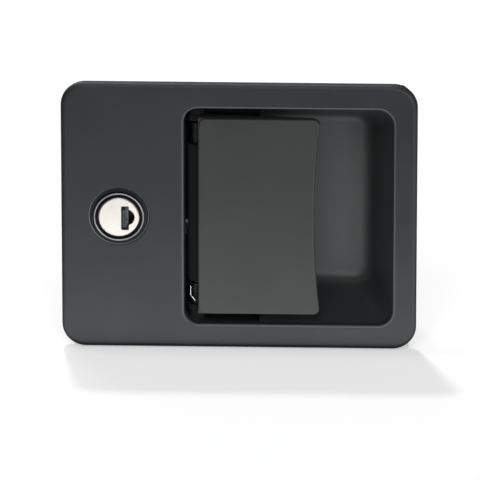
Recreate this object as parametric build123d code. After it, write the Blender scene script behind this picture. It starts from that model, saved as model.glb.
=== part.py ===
from build123d import *
import os
from math import cos, sin, radians, pi, hypot

# A flush paddle latch for a cabinet or vehicle door, with a key lock and a rotary latch behind it.
# Frame, in millimetres: +X to the right and +Z up as seen by someone in front of the door, +Y into
# the door.  The origin is the centre of the stud rectangle, on the skin of the door (y = 0).

# ---- Driving dimensions -------------------------------------------------------------------------

# mounting plate and gasket
PLATE_W = 140.0          # plate width
PLATE_H = 110.0          # plate height
PLATE_R = 9.5            # plate corner radius
PLATE_T = 3.0            # plate thickness
EDGE_R = 1.9             # rounding of the plate's front edge
GASKET_T = 2.0           # gasket thickness
GASKET_INSET = 0.5       # gasket outline inside the plate outline
SIDE = 7.5               # plate beyond the door opening, left side
CUT_GAP = 1.0            # door opening round the pan
CUT_R = 11.0             # door opening, corner radius

# mounting studs
STUD_IN = 6.5            # studs inside the plate's edges
STUD_R = 2.5             # stud radius (M5)
STUD_L = 10.5            # stud length behind the door skin
SPIGOT_R = 2.0           # knurled end of the stud, pressed into the plate
STUD_SEAT = 1.8          # depth of that seat
GASKET_HOLE_GAP = 1.3    # gasket hole over the stud

# pan: the recess behind the plate
WALL = 2.5               # wall of the pan
LIP_R = 1.3              # rounding of the recess lip
RIM_X = 9.4              # plate beside the recess, right side
RIM_Z = 10.1             # plate above and below the recess
REC_FROM_LOCK = 25.7     # recess, from the lock axis to its left side
REC_R = 5.2              # recess, corner radius beside the hinge
REC_R1 = 6.6             # recess, corner radius round the finger well
SHALLOW_W = 29.5         # width of the shallow part that holds the hinge
SHALLOW_Y = 7.5          # floor of the shallow part
WELL_Y = 22.5            # floor of the finger well
WELL_DRAFT_X = 10.6      # how far the right wall slopes in
WELL_DRAFT_Z = 11.6      # how far the upper and lower walls slope in
WELL_R = 6.0             # finger well floor, corner radius
WELL_FILLET = 4.0        # rounding between the well's walls and its floor
RIB_T = 1.6              # ribs on the back of the plate
RIB_H = 3.0              # height of those ribs
RIB_IN = 9.0             # ribs inside the recess height

# paddle and its hinge
HINGE_IN = 4.6           # hinge axis from the recess's left side
HINGE_Y = 2.5            # hinge axis behind the door skin
PIN_R = 2.0              # hinge pin radius
RUN_GAP = 0.05           # radial clearance of every pin in its hole
PIN_END = 1.2            # hinge pin beyond its clips
KNUCKLE_R = 3.4          # outside of the paddle's knuckles
PAD_LEFT = 0.9           # paddle's left edge from the hinge axis
GRIP_W = 28.7            # open width of the finger well beside the paddle
PAD_GAP_Z = 4.2          # gap above and below the paddle
PAD_R = 2.8              # paddle, corner radius
PAD_T = 2.5              # paddle thickness
PAD_HOLLOW = 2.4         # how far the paddle's free edge curves in at its middle
PAD_RIM = 2.2            # thickness of the paddle's turned-back ends
PAD_RIM_Y = 1.0          # how far back those ends reach
END_GAP = 0.3            # side play of the paddle between the pan's bosses
CLIP_T = 0.8             # retaining clip thickness
CLIP_R = 4.0             # retaining clip radius
BOSS_H = 1.2             # pin bosses outside the pan
BOSS_R = 4.8

# paddle springs
SPRING_WIRE = 0.9        # wire diameter of the paddle springs
SPRING_L = 9.0           # length of each coil
SPRING_PLAY = 0.6        # coil from the knuckles beside it
SPRING_GAP = 0.3         # coil over the pin

# paddle finger and release lever, at the level of the shallow floor's slot
FINGER_Z0 = -11.0        # finger, lower and upper face
FINGER_Z1 = -7.0
FINGER_DX = -1.4         # centre of the finger's tip from the hinge axis
FINGER_Y = 12.0
FINGER_R = 1.3           # radius of the finger's tip
SLOT_GAP_Z = 1.5         # floor slot above and below the finger
SLOT_L = 12.1            # floor slot, from the recess's left side
LEVER_TIP_DX = 2.0       # centre of the lever's tip from the hinge axis
LEVER_TIP_Y = 12.6
LEVER_TIP_R = 1.8

# lock
LOCK_IN = 22.7           # lock axis from the plate's left edge
DISH_GAP = 1.95          # dish round the barrel head
DISH_D = 0.9             # depth of the dish
HEAD_OVER = 0.95         # barrel head beyond the threaded body
HEAD_Y = -6.0            # front of the barrel head
HEAD_RIM = 0.7           # thin rim of the head round its groove
HEAD_GROOVE = 1.1        # depth of that groove
BARREL_R = 9.0           # threaded body of the barrel
BARREL_WALL = 2.0        # wall of the barrel round the plug's body
BARREL_Y1 = 16.0         # back end of the barrel
LOCK_BOSS_W = 4.0        # boss behind the plate, round the barrel
LOCK_BOSS_Y = 3.0        # back of that boss
GROOVE_W = 1.25          # groove between the plug and the head's rim
PLUG_FACE_Y = -6.3       # front of the plug
PLUG_STEP_Y = -3.0       # back of the plug's wide front
NUT_WALL = 3.5           # nut outside the barrel, at its flats
NUT_T = 4.0              # nut thickness
WASHER_W = 3.6           # washer outside the barrel
WASHER_T = 1.0           # washer thickness
KEY_X0 = 0.95            # keyhole from the lock axis, left side
KEY_X1 = 4.0             # keyhole, right side of its straight part
KEY_Z1 = 4.6             # keyhole, upper end
KEY_BULGE_X = 2.9        # centre of the keyhole's round part
KEY_SKIN = 0.35          # least metal between the keyhole and the plug body's side
CHAMBER_Y = 1.4          # back of the shutter's chamber
WAY_X1 = 3.4             # key way behind the chamber, right side
WAY_Z = 3.6              # key way, half height
WAY_Y1 = 12.2            # key way, blind end
WAFER_COUNT = 5
WAFER_T = 0.9            # wafer thickness
WAFER_PITCH = 2.0        # wafer spacing
WAFER_Y0 = 2.2           # front of the first wafer
WAFER_X0 = 0.0           # wafer, left and right side
WAFER_X1 = 4.4
WAFER_GAP = 0.05         # wafer in its slot
SHUT_X = 1.6             # shutter pivot from the lock axis
SHUT_Y = -4.2            # shutter pivot
SHUT_T = 0.5             # shutter thickness
SHUT_ROLL_R = 0.5        # rolled edge round the pivot
SHUT_WIRE_R = 0.3        # pivot wire
SHUT_GAP = 0.15          # shutter in the keyhole
SHUT_SPRING_L = 2.2      # room for the shutter's spring

# crank, lock slide and its guides
CRANK_Y0 = 16.4          # crank, front and back face
CRANK_Y1 = 20.0
CRANK_R = 8.5
TAIL_W = 6.0             # square tail of the plug
TAIL_Y1 = 17.7
ECC_R = 5.0              # radius at which the eccentric pin turns
ECC_PIN_R = 2.0          # eccentric pin
ECC_PIN_Y1 = 23.0
SLIDE_Y0 = 20.3          # lock slide, front face
SLIDE_T = 2.0            # lock slide thickness
SLIDE_PLAY = 0.25        # slide's slot over the eccentric pin
POST_Z = 19.0            # upper guide post, above the lock
POST2_DX = 17.3          # second guide post, beside and above the lock
POST2_Z = 6.0
POST_R = 3.2             # guide posts of the housing
SHOULDER_R = 2.5         # shoulder of the guide screws
GUIDE_GAP = 0.1          # guide slot over that shoulder
SLIDE_HEAD_R = 4.2       # head of the guide screws
SLIDE_HEAD_T = 2.0
FORK_Z0 = -5.9           # fork of the slide, lower face
FORK_T = 2.0

# rotary latch
ROTOR_DX = 1.3           # rotor axis from the lock axis
ROTOR_Y = 32.0
ROTOR_R = 15.0
ROTOR_T = 4.0
ROTOR_Z0 = -26.7         # rotor, lower face
ROTOR_SWING = 48.0       # turn from open to closed
STRIKER_DX = 11.0        # closed striker from the rotor axis
STRIKER_DY = 1.5
STRIKER_R = 4.0          # striker bar
STRIKER_GAP = 0.3        # slot over the striker
NOTCH_D = 2.8            # depth of the notch that the pawl drops into
PAWL_DX = 22.0           # pawl axis from the rotor axis
PAWL_DY = 0.7
PAWL_HUB_R = 5.0         # pawl's boss round its pin
PAWL_TIP_GAP = 0.35      # pawl's tip over the rotor's rim
PIVOT_R = 2.5            # rotor and pawl pins
HUB_R = 3.9              # hub that carries the release lever
HUB_FLAT = 3.3           # half width over the hub's flats
LEVER_HUB_R = 5.6        # boss of the release lever
LEVER_GAP = 0.1          # lever over the hub
LEVER_Z0 = -11.5         # release lever, lower and upper end
LEVER_Z1 = -2.6
COLLAR_R = 7.6           # collars of the lever each side of the fork
COLLAR_T = 1.0
COLLAR_GAP = 0.1         # play of the fork between the collars
HUB_TOP_Z = -0.5

# latch case
CASE_T = 2.0             # case plates
CASE_GAP = 0.8           # case beyond the rotor, left side
CASE_RIGHT = 6.4         # case beyond the pawl axis
FLANGE_GAP = 1.0         # case flange in front of the rotor
LOWER_Z0 = -29.0         # lower plate, lower face
UPPER_Z0 = -21.0         # upper plate, lower face
FLANGE_DROP = 9.5        # case flange below the lower plate
SPACER_R = 2.2
RIVET_R = 1.5
RIVET_HEAD_T = 0.9
SCREW_R = 2.0            # case screws (M4)
SCREW_HEAD_R = 3.5
SCREW_HEAD_T = 2.5
SCREW_L = 7.0            # shank below the head
SCREW_BOSS_R = 4.0

# ---- Derived places -----------------------------------------------------------------------------

FACE_Y = -(GASKET_T + PLATE_T)
BACK_Y = -GASKET_T
LOCK_X = LOCK_IN - PLATE_W / 2
REC_X0 = LOCK_X + REC_FROM_LOCK
REC_X1 = PLATE_W / 2 - RIM_X
REC_Z = PLATE_H / 2 - RIM_Z
STEP_X = REC_X0 + SHALLOW_W
WELL_X1 = REC_X1 - WELL_DRAFT_X
WELL_Z = REC_Z - WELL_DRAFT_Z
CUT_X0 = SIDE - PLATE_W / 2
CUT_X1 = REC_X1 + WALL + CUT_GAP
CUT_Z = REC_Z + WALL + CUT_GAP
STUDS = [(sx * (PLATE_W / 2 - STUD_IN), sz * (PLATE_H / 2 - STUD_IN)) for sx in (-1, 1) for sz in (-1, 1)]
HINGE_X = REC_X0 + HINGE_IN
PAD_X0 = HINGE_X + PAD_LEFT
PAD_X1 = REC_X1 - GRIP_W
PAD_Z = REC_Z - PAD_GAP_Z
SPRING_Z1 = PAD_Z - PAD_RIM - SPRING_PLAY
SPRING_Z0 = SPRING_Z1 - SPRING_L
LUG_Z = SPRING_Z0 - SPRING_PLAY
SLOT_X1 = REC_X0 + SLOT_L
FINGER_X = HINGE_X + FINGER_DX
LEVER_TIP_X = HINGE_X + LEVER_TIP_DX
HEAD_R = BARREL_R + HEAD_OVER
DISH_R = HEAD_R + DISH_GAP
LOCK_BOSS_R = BARREL_R + LOCK_BOSS_W
PLUG_R = HEAD_R - HEAD_RIM - GROOVE_W
PLUG_BODY_R = BARREL_R - BARREL_WALL
KEY_Z0 = -((PLUG_BODY_R - KEY_SKIN) ** 2 - KEY_X1 ** 2) ** 0.5
KEY_BULGE_R = PLUG_BODY_R - 2 * KEY_SKIN - KEY_BULGE_X
WAFER_Z = ((PLUG_BODY_R - KEY_SKIN / 2) ** 2 - WAFER_X1 ** 2) ** 0.5
POST2_X = LOCK_X + POST2_DX
ROTOR_X = LOCK_X + ROTOR_DX
STRIKER_X = ROTOR_X + STRIKER_DX
STRIKER_Y = ROTOR_Y + STRIKER_DY
PAWL_X = ROTOR_X + PAWL_DX
PAWL_Y = ROTOR_Y + PAWL_DY
CASE_X0 = ROTOR_X - ROTOR_R - CASE_GAP
CASE_X1 = PAWL_X + CASE_RIGHT
CASE_Y0 = ROTOR_Y - ROTOR_R - FLANGE_GAP - CASE_T
CASE_Y1 = ROTOR_Y + ROTOR_R
FLANGE_Z0 = LOWER_Z0 - FLANGE_DROP
PAN_Z = REC_Z + WALL
BOSS_Z = PAN_Z + BOSS_H
SLIDE_Y1 = SLIDE_Y0 + SLIDE_T
POST_Y1 = SLIDE_Y0 - 0.2
GUIDES = [(LOCK_X, POST_Z), (POST2_X, POST2_Z)]
SLIDE_TRAVEL = 2 * ECC_R * sin(radians(45))
ECC_X = LOCK_X + ECC_R * cos(radians(45))
ECC_Z = ECC_R * sin(radians(45))
FORK_Z1 = FORK_Z0 + FORK_T
ROTOR_Z1 = ROTOR_Z0 + ROTOR_T
STRIKER_SLOT_R = STRIKER_R + STRIKER_GAP
TAB_Z = (FLANGE_Z0 + LOWER_Z0 - 0.3) / 2
CASE_SCREWS = [(CASE_X0 + 6.5, TAB_Z), (CASE_X1 - 8.0, TAB_Z), (CASE_X1 + 5.0, TAB_Z + 9.5)]
SPACER_IN = 3.0
SPACERS = [
    (x, y) for x in (CASE_X0 + SPACER_IN, CASE_X1 - SPACER_IN)
    for y in (CASE_Y0 + CASE_T + SPACER_IN, CASE_Y1 - SPACER_IN)]


# ---- Helpers ------------------------------------------------------------------------------------

def along_y(sketch, y0, y1):
    """Extrude a sketch drawn in X and Z from y0 to y1."""
    return extrude(Plane(origin=(0, y1, 0), x_dir=(1, 0, 0), z_dir=(0, -1, 0)) * sketch, amount=y1 - y0)


def along_z(sketch, z0, z1):
    """Extrude a sketch drawn in X and Y from z0 to z1."""
    return extrude(Plane.XY.offset(z0) * sketch, amount=z1 - z0)


def rod_y(x, z, r, y0, y1):
    return along_y(Pos(x, z) * Circle(r), y0, y1)


def rod_z(x, y, r, z0, z1):
    return along_z(Pos(x, y) * Circle(r), z0, z1)


def block(x0, x1, y0, y1, z0, z1):
    return Pos((x0 + x1) / 2, (y0 + y1) / 2, (z0 + z1) / 2) * Box(x1 - x0, y1 - y0, z1 - z0)


def rounded(x0, x1, z0, z1, r):
    """A rounded rectangle between two corners."""
    return Pos((x0 + x1) / 2, (z0 + z1) / 2) * RectangleRounded(x1 - x0, z1 - z0, r)


def slot_between(p, q, r):
    """A sketch of the strip of half width r between two points, round at both ends."""
    return hull_of([(p[0], p[1], r), (q[0], q[1], r)])


def hull_of(circles):
    """The outline of a string pulled round circles (x, y, r)."""
    edges = [e for x, y, r in circles for e in (Pos(x, y) * Circle(r)).edges()]
    return make_hull(edges)


def turned(p, centre, degrees):
    """The point p turned about the centre, anticlockwise as seen along -Z."""
    a = radians(degrees)
    x, y = p[0] - centre[0], p[1] - centre[1]
    return (centre[0] + x * cos(a) - y * sin(a), centre[1] + x * sin(a) + y * cos(a))


def mirrored_z(shape):
    return mirror(shape, about=Plane.XY)


# ---- Housing, gasket and studs ------------------------------------------------------------------

def door_opening():
    outline = rounded(CUT_X0, CUT_X1, -CUT_Z, CUT_Z, CUT_R)
    notch_z = BOSS_Z + CLIP_T + PIN_END + 0.3
    notch = rounded(HINGE_X - BOSS_R - 1, HINGE_X + BOSS_R + 1, -notch_z, notch_z, 2.0)
    return outline + notch


def recess_outline():
    left = rounded(REC_X0, STEP_X + 8, -REC_Z, REC_Z, REC_R)
    return left + rounded(STEP_X - 8, REC_X1, -REC_Z, REC_Z, REC_R1)


def well_solid(extra, y0, y1, floor_fillet):
    """The finger well as a tapering solid, larger by extra on every side."""
    x0 = STEP_X - 20
    x1 = WELL_X1 + extra
    z1 = WELL_Z + extra
    top = rounded(x0, REC_X1 + extra, -REC_Z - extra, REC_Z + extra, REC_R1 + extra)
    bottom = rounded(x0, x1, -z1, z1, WELL_R + extra)
    plane0 = Plane(origin=(0, y0, 0), x_dir=(1, 0, 0), z_dir=(0, -1, 0))
    plane1 = Plane(origin=(0, y1, 0), x_dir=(1, 0, 0), z_dir=(0, -1, 0))
    shape = loft([plane0 * top, plane1 * bottom], ruled=True)
    if floor_fillet:
        shape = fillet(shape.faces().sort_by(Axis.Y)[-1].edges(), floor_fillet)
    return shape & block(STEP_X - extra, REC_X1 + 10, y0, y1, -PLATE_H, PLATE_H)


def housing():
    # plate with a rounded front edge, and the recess cut through it with a rounded lip
    plate = along_y(RectangleRounded(PLATE_W, PLATE_H, PLATE_R), FACE_Y, BACK_Y)
    plate = fillet(plate.faces().sort_by(Axis.Y)[0].edges(), EDGE_R)
    plate -= along_y(recess_outline(), FACE_Y - 1, BACK_Y + 1)
    front = plate.faces().sort_by(Axis.Y)[0]
    plate = fillet(front.inner_wires()[0].edges(), LIP_R)

    # outside of the pan
    body = along_y(rounded(REC_X0 - WALL, STEP_X + WALL, -PAN_Z, PAN_Z, REC_R + WALL), BACK_Y, SHALLOW_Y + WALL)
    body += block(STEP_X - 6, STEP_X + WALL, BACK_Y, SHALLOW_Y + WALL, -PAN_Z, PAN_Z)
    body += well_solid(WALL, BACK_Y, WELL_Y + WALL, WELL_FILLET)
    for s in (-1, 1):
        body += rod_z(HINGE_X, HINGE_Y, BOSS_R, min(s * REC_Z, s * BOSS_Z), max(s * REC_Z, s * BOSS_Z))

    # inside of the pan
    hollow = along_y(rounded(REC_X0, STEP_X + 8, -REC_Z, REC_Z, REC_R), BACK_Y, SHALLOW_Y)
    hollow -= block(STEP_X, STEP_X + 20, BACK_Y - 1, SHALLOW_Y + 1, -REC_Z - 1, REC_Z + 1)
    body -= hollow
    body -= well_solid(0, BACK_Y, WELL_Y, WELL_FILLET)
    shape = plate + body

    # bosses inside the recess that centre the paddle on its pin
    for s in (-1, 1):
        z0 = s * (PAD_Z + END_GAP)
        shape += rod_z(HINGE_X, HINGE_Y, KNUCKLE_R - 0.3, min(z0, s * REC_Z), max(z0, s * REC_Z))
    shape -= rod_z(HINGE_X, HINGE_Y, PIN_R + RUN_GAP, -BOSS_Z - 1, BOSS_Z + 1)

    # slot for the paddle's finger
    shape -= block(REC_X0, SLOT_X1, SHALLOW_Y - 1, SHALLOW_Y + WALL + 1,
                   FINGER_Z0 - SLOT_GAP_Z, FINGER_Z1 + SLOT_GAP_Z)

    # lock boss, guide posts, screw bosses and ribs on the back
    shape += rod_y(LOCK_X, 0, LOCK_BOSS_R, BACK_Y, LOCK_BOSS_Y)
    for x, z in GUIDES:
        post = rod_y(x, z, POST_R, BACK_Y, POST_Y1) + rod_y(x, z, POST_R + 1.6, BACK_Y, LOCK_BOSS_Y)
        shape += post - rod_y(x, z, RIVET_R + RUN_GAP, POST_Y1 - 7, POST_Y1 + 1)
    screw_y0 = CASE_Y0 + CASE_T - SCREW_L
    for x, z in CASE_SCREWS:
        root = BACK_Y if x < REC_X0 else SHALLOW_Y + WALL / 2
        shape += rod_y(x, z, SCREW_BOSS_R, root, CASE_Y0)
        shape -= rod_y(x, z, SCREW_R + RUN_GAP, screw_y0 - 0.2, CASE_Y0 + 1)
    rib_x = CUT_X0 + CUT_GAP
    rib_z = REC_Z - RIB_IN
    rib_y = (BACK_Y - 0.5, BACK_Y + RIB_H)
    for z in (-rib_z, rib_z):
        shape += block(rib_x, REC_X0 - WALL / 2, *rib_y, z - RIB_T / 2, z + RIB_T / 2)
    shape += block(rib_x, rib_x + RIB_T, *rib_y, -rib_z, rib_z)

    # lock seat and stud seats
    shape -= rod_y(LOCK_X, 0, DISH_R, FACE_Y - 1, FACE_Y + DISH_D)
    edge = shape.edges().filter_by(GeomType.CIRCLE).filter_by(
        lambda e: abs(e.radius - DISH_R) < 0.01 and abs(e.center().Y - FACE_Y) < 0.01)
    shape = fillet(edge, DISH_D / 2)
    shape -= rod_y(LOCK_X, 0, BARREL_R + RUN_GAP, FACE_Y - 1, LOCK_BOSS_Y + 1)
    for x, z in STUDS:
        shape -= rod_y(x, z, SPIGOT_R + RUN_GAP, BACK_Y - STUD_SEAT, BACK_Y + 1)
    return shape


def gasket():
    outer = RectangleRounded(PLATE_W - 2 * GASKET_INSET, PLATE_H - 2 * GASKET_INSET, PLATE_R - GASKET_INSET)
    sheet = outer - door_opening()
    for x, z in STUDS:
        sheet -= Pos(x, z) * Circle(STUD_R + GASKET_HOLE_GAP)
    return along_y(sheet, BACK_Y, 0)


def mounting_studs():
    stud = chamfer(rod_y(0, 0, STUD_R, BACK_Y, STUD_L).edges().sort_by(Axis.Y)[-1], 0.6)
    stud += rod_y(0, 0, SPIGOT_R, BACK_Y - STUD_SEAT, BACK_Y)
    return Compound(children=[Pos(x, 0, z) * stud for x, z in STUDS])


# ---- Paddle -------------------------------------------------------------------------------------

def paddle():
    blank = rounded(PAD_X0, PAD_X1, -PAD_Z, PAD_Z, PAD_R)
    sag = PAD_HOLLOW
    bow_r = (PAD_Z ** 2 + sag ** 2) / (2 * sag)
    blank -= Pos(PAD_X1 - sag + bow_r, 0) * Circle(bow_r)
    plate = along_y(blank, FACE_Y, FACE_Y + PAD_T)
    shape = plate

    # turned-back ends, which run out towards the free edge
    for s in (-1, 1):
        z0, z1 = sorted((s * PAD_Z, s * (PAD_Z - PAD_RIM)))
        end = make_face(Polyline(
            (PAD_X0, FACE_Y + 1), (PAD_X1 - PAD_R, FACE_Y + 1), (PAD_X1 - PAD_R, FACE_Y + PAD_T + 0.6),
            (HINGE_X + KNUCKLE_R + 6, PAD_RIM_Y), (PAD_X0, PAD_RIM_Y), close=True))
        shape += along_z(end, z0, z1)
        knuckle = hull_of([(HINGE_X, HINGE_Y, KNUCKLE_R), (PAD_X0 + 6, FACE_Y + 3, 1.2)])
        shape += along_z(knuckle, z0, z1)

    # hinge barrel between the springs, and the finger that reaches through the floor
    barrel = hull_of([(HINGE_X, HINGE_Y, KNUCKLE_R), (PAD_X0 + 6, FACE_Y + 2.0, 1.2)])
    shape += along_z(barrel, -LUG_Z, LUG_Z)
    finger = hull_of([(HINGE_X, HINGE_Y, KNUCKLE_R - 1.2), (FINGER_X, FINGER_Y, FINGER_R)])
    shape += along_z(finger, FINGER_Z0, FINGER_Z1)

    # stiffening ribs on the back
    for z in (-14.0, 14.0):
        rib = make_face(Polyline(
            (PAD_X0 + 1, FACE_Y + 1), (PAD_X1 - 8, FACE_Y + 1), (PAD_X1 - 12, FACE_Y + PAD_T + 0.8),
            (PAD_X0 + 8, FACE_Y + PAD_T + 2.0), (PAD_X0 + 1, FACE_Y + PAD_T + 2.0), close=True))
        shape += along_z(rib, z - RIB_T / 2, z + RIB_T / 2)
    shape -= rod_z(HINGE_X, HINGE_Y, PIN_R + RUN_GAP, -PAD_Z - 1, PAD_Z + 1)
    front = shape.faces().sort_by(Axis.Y)[0]
    return fillet(front.outer_wire().edges(), 0.8)


def hinge_pin():
    end = BOSS_Z + CLIP_T + PIN_END
    pin = rod_z(HINGE_X, HINGE_Y, PIN_R, -end, end)
    return chamfer(pin.edges().filter_by(GeomType.CIRCLE), 0.4)


def hinge_clips():
    ring = Circle(CLIP_R) - Circle(PIN_R + RUN_GAP)
    ring -= Pos(CLIP_R, 0) * Rectangle(2 * CLIP_R, 2.0)
    clip = along_z(Pos(HINGE_X, HINGE_Y) * ring, BOSS_Z + 0.1, BOSS_Z + 0.1 + CLIP_T)
    return Compound(children=[clip, mirrored_z(clip)])


def paddle_springs():
    r0 = PIN_R + SPRING_GAP
    coil = rod_z(HINGE_X, HINGE_Y, r0 + SPRING_WIRE, SPRING_Z0, SPRING_Z1)
    coil -= rod_z(HINGE_X, HINGE_Y, r0, SPRING_Z0 - 1, SPRING_Z1 + 1)
    w = SPRING_WIRE
    reach = 9.0
    mid_y = HINGE_Y + r0 + w / 2
    floor_y = SHALLOW_Y - w / 2 - 0.1
    floor_leg = slot_between((HINGE_X, mid_y), (HINGE_X + reach, floor_y), w / 2)
    coil += along_z(floor_leg, SPRING_Z0, SPRING_Z0 + w)
    top_y = HINGE_Y - r0 - w / 2
    pad_y = FACE_Y + PAD_T + w / 2 + 0.15
    paddle_leg = slot_between((HINGE_X, top_y), (HINGE_X + reach, pad_y), w / 2)
    coil += along_z(paddle_leg, SPRING_Z1 - w, SPRING_Z1)
    return Compound(children=[coil, mirrored_z(coil)])


# ---- Lock ---------------------------------------------------------------------------------------

def keyhole():
    slot = Pos((KEY_X0 + KEY_X1) / 2, (KEY_Z0 + KEY_Z1) / 2) * RectangleRounded(
        KEY_X1 - KEY_X0, KEY_Z1 - KEY_Z0, 0.5)
    bulge = Pos(KEY_BULGE_X, 0) * Circle(KEY_BULGE_R)
    bulge -= Pos(KEY_BULGE_X - KEY_BULGE_R, 0) * Rectangle(2 * (KEY_X1 - KEY_BULGE_X + KEY_BULGE_R) - 2.0, 20)
    return slot + bulge


def lock_barrel():
    seat_y = FACE_Y + DISH_D
    head = rod_y(LOCK_X, 0, HEAD_R, HEAD_Y, seat_y)
    head -= rod_y(LOCK_X, 0, HEAD_R - HEAD_RIM, HEAD_Y - 1, HEAD_Y + HEAD_GROOVE)
    head = fillet(head.edges().group_by(Axis.Y)[0], HEAD_RIM * 0.45)
    shape = head + rod_y(LOCK_X, 0, BARREL_R, seat_y, BARREL_Y1)
    shape -= rod_y(LOCK_X, 0, PLUG_R + RUN_GAP, HEAD_Y - 1, PLUG_STEP_Y + RUN_GAP)
    return shape - rod_y(LOCK_X, 0, PLUG_BODY_R + RUN_GAP, PLUG_STEP_Y, BARREL_Y1 + 1)


def wafer_slots():
    return [WAFER_Y0 + i * WAFER_PITCH for i in range(WAFER_COUNT)]


def lock_plug():
    front = rod_y(0, 0, PLUG_R, PLUG_FACE_Y, PLUG_STEP_Y)
    front = chamfer(front.edges().sort_by(Axis.Y)[0], 0.35)
    shape = front + rod_y(0, 0, PLUG_BODY_R, PLUG_STEP_Y, BARREL_Y1)
    shape += block(-TAIL_W / 2, TAIL_W / 2, BARREL_Y1, TAIL_Y1, -TAIL_W / 2, TAIL_W / 2)
    shape -= along_y(keyhole(), PLUG_FACE_Y - 1, CHAMBER_Y)
    shape -= block(KEY_X0, WAY_X1, CHAMBER_Y - 1, WAY_Y1, -WAY_Z, WAY_Z)
    for y in wafer_slots():
        shape -= block(WAFER_X0 - WAFER_GAP, WAFER_X1 + WAFER_GAP, y - WAFER_GAP, y + WAFER_T + WAFER_GAP,
                       -WAFER_Z - WAFER_GAP, PLUG_BODY_R + 1)
    wire_z0 = KEY_Z0 - 0.7
    wire_z1 = KEY_Z1 + 0.7
    shape -= rod_z(SHUT_X, SHUT_Y, SHUT_WIRE_R + RUN_GAP, wire_z0 - RUN_GAP, wire_z1 + RUN_GAP)
    shape -= rod_y(0, 0, 1.5 + RUN_GAP, CRANK_Y0 - 3.6, TAIL_Y1 + 1)
    return Pos(LOCK_X, 0, 0) * shape


def key_shutter():
    inset = SHUT_GAP
    end_x = KEY_X1 - inset - SHUT_T / 2
    crown_x = (SHUT_X + end_x) / 2
    bowed = hull_of([(SHUT_X, SHUT_Y, SHUT_T / 2), (crown_x, SHUT_Y - SHUT_T / 2, SHUT_T / 2),
                     (end_x, SHUT_Y, SHUT_T / 2)])
    flap = along_z(bowed, KEY_Z0 + inset, KEY_Z1 - inset)
    z1 = KEY_Z1 - SHUT_SPRING_L
    flap -= block(SHUT_X - 1, SHUT_X + SHUT_ROLL_R + 0.2, SHUT_Y - 1, SHUT_Y + 1, z1 - 0.1, KEY_Z1)
    roll = rod_z(SHUT_X, SHUT_Y, SHUT_ROLL_R, KEY_Z0 + inset, z1 - 0.1)
    wire = rod_z(SHUT_X, SHUT_Y, SHUT_WIRE_R, KEY_Z0 - 0.6, KEY_Z1 + 0.6)
    return Pos(LOCK_X, 0, 0) * (flap + roll + wire)


def shutter_spring():
    z0 = KEY_Z1 - SHUT_SPRING_L
    coil = rod_z(SHUT_X, SHUT_Y, SHUT_ROLL_R, z0, KEY_Z1 - SHUT_GAP)
    coil -= rod_z(SHUT_X, SHUT_Y, SHUT_WIRE_R + RUN_GAP, z0 - 1, KEY_Z1 + 1)
    return Pos(LOCK_X, 0, 0) * coil


def wafer_tumblers():
    wafers = []
    for y in wafer_slots():
        plate = block(WAFER_X0, WAFER_X1, y, y + WAFER_T, -WAFER_Z, WAFER_Z)
        plate -= block(KEY_X0 - 0.1, WAY_X1 + 0.1, y - 1, y + WAFER_T + 1, -WAY_Z - 0.1, WAY_Z + 0.1)
        wafers.append(Pos(LOCK_X, 0, 0) * plate)
    return Compound(children=wafers)


def lock_washer():
    ring = Circle(BARREL_R + WASHER_W) - Circle(BARREL_R + RUN_GAP)
    return along_y(Pos(LOCK_X, 0) * ring, LOCK_BOSS_Y, LOCK_BOSS_Y + WASHER_T)


def lock_nut():
    y0 = LOCK_BOSS_Y + WASHER_T
    hexagon = RegularPolygon(BARREL_R + NUT_WALL, 6, major_radius=False) - Circle(BARREL_R + RUN_GAP)
    return along_y(Pos(LOCK_X, 0) * hexagon, y0, y0 + NUT_T)


def lock_crank():
    head_y = CRANK_Y1 - 1.2
    arm = hull_of([(0, 0, CRANK_R - 2.5), (ECC_X - LOCK_X, ECC_Z, ECC_PIN_R + 1.4)])
    shape = along_y(arm, CRANK_Y0, CRANK_Y1)
    shape -= block(-TAIL_W / 2 - RUN_GAP, TAIL_W / 2 + RUN_GAP, CRANK_Y0 - 1, TAIL_Y1 + 0.1,
                   -TAIL_W / 2 - RUN_GAP, TAIL_W / 2 + RUN_GAP)
    shape -= rod_y(0, 0, 1.5 + RUN_GAP, CRANK_Y0, CRANK_Y1 + 1)
    shape -= rod_y(0, 0, 3.0 + RUN_GAP, head_y, CRANK_Y1 + 1)
    shape += rod_y(ECC_X - LOCK_X, ECC_Z, ECC_PIN_R, CRANK_Y1 - 1, ECC_PIN_Y1)
    return Pos(LOCK_X, 0, 0) * shape


def crank_screw():
    head_y = CRANK_Y1 - 1.2
    shape = rod_y(LOCK_X, 0, 3.0, head_y, CRANK_Y1 - 0.1)
    shape += rod_y(LOCK_X, 0, 1.5, CRANK_Y0 - 3.4, head_y)
    return shape - rod_y(LOCK_X, 0, 1.0, CRANK_Y1 - 0.8, CRANK_Y1)


# ---- Lock slide ---------------------------------------------------------------------------------

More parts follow.
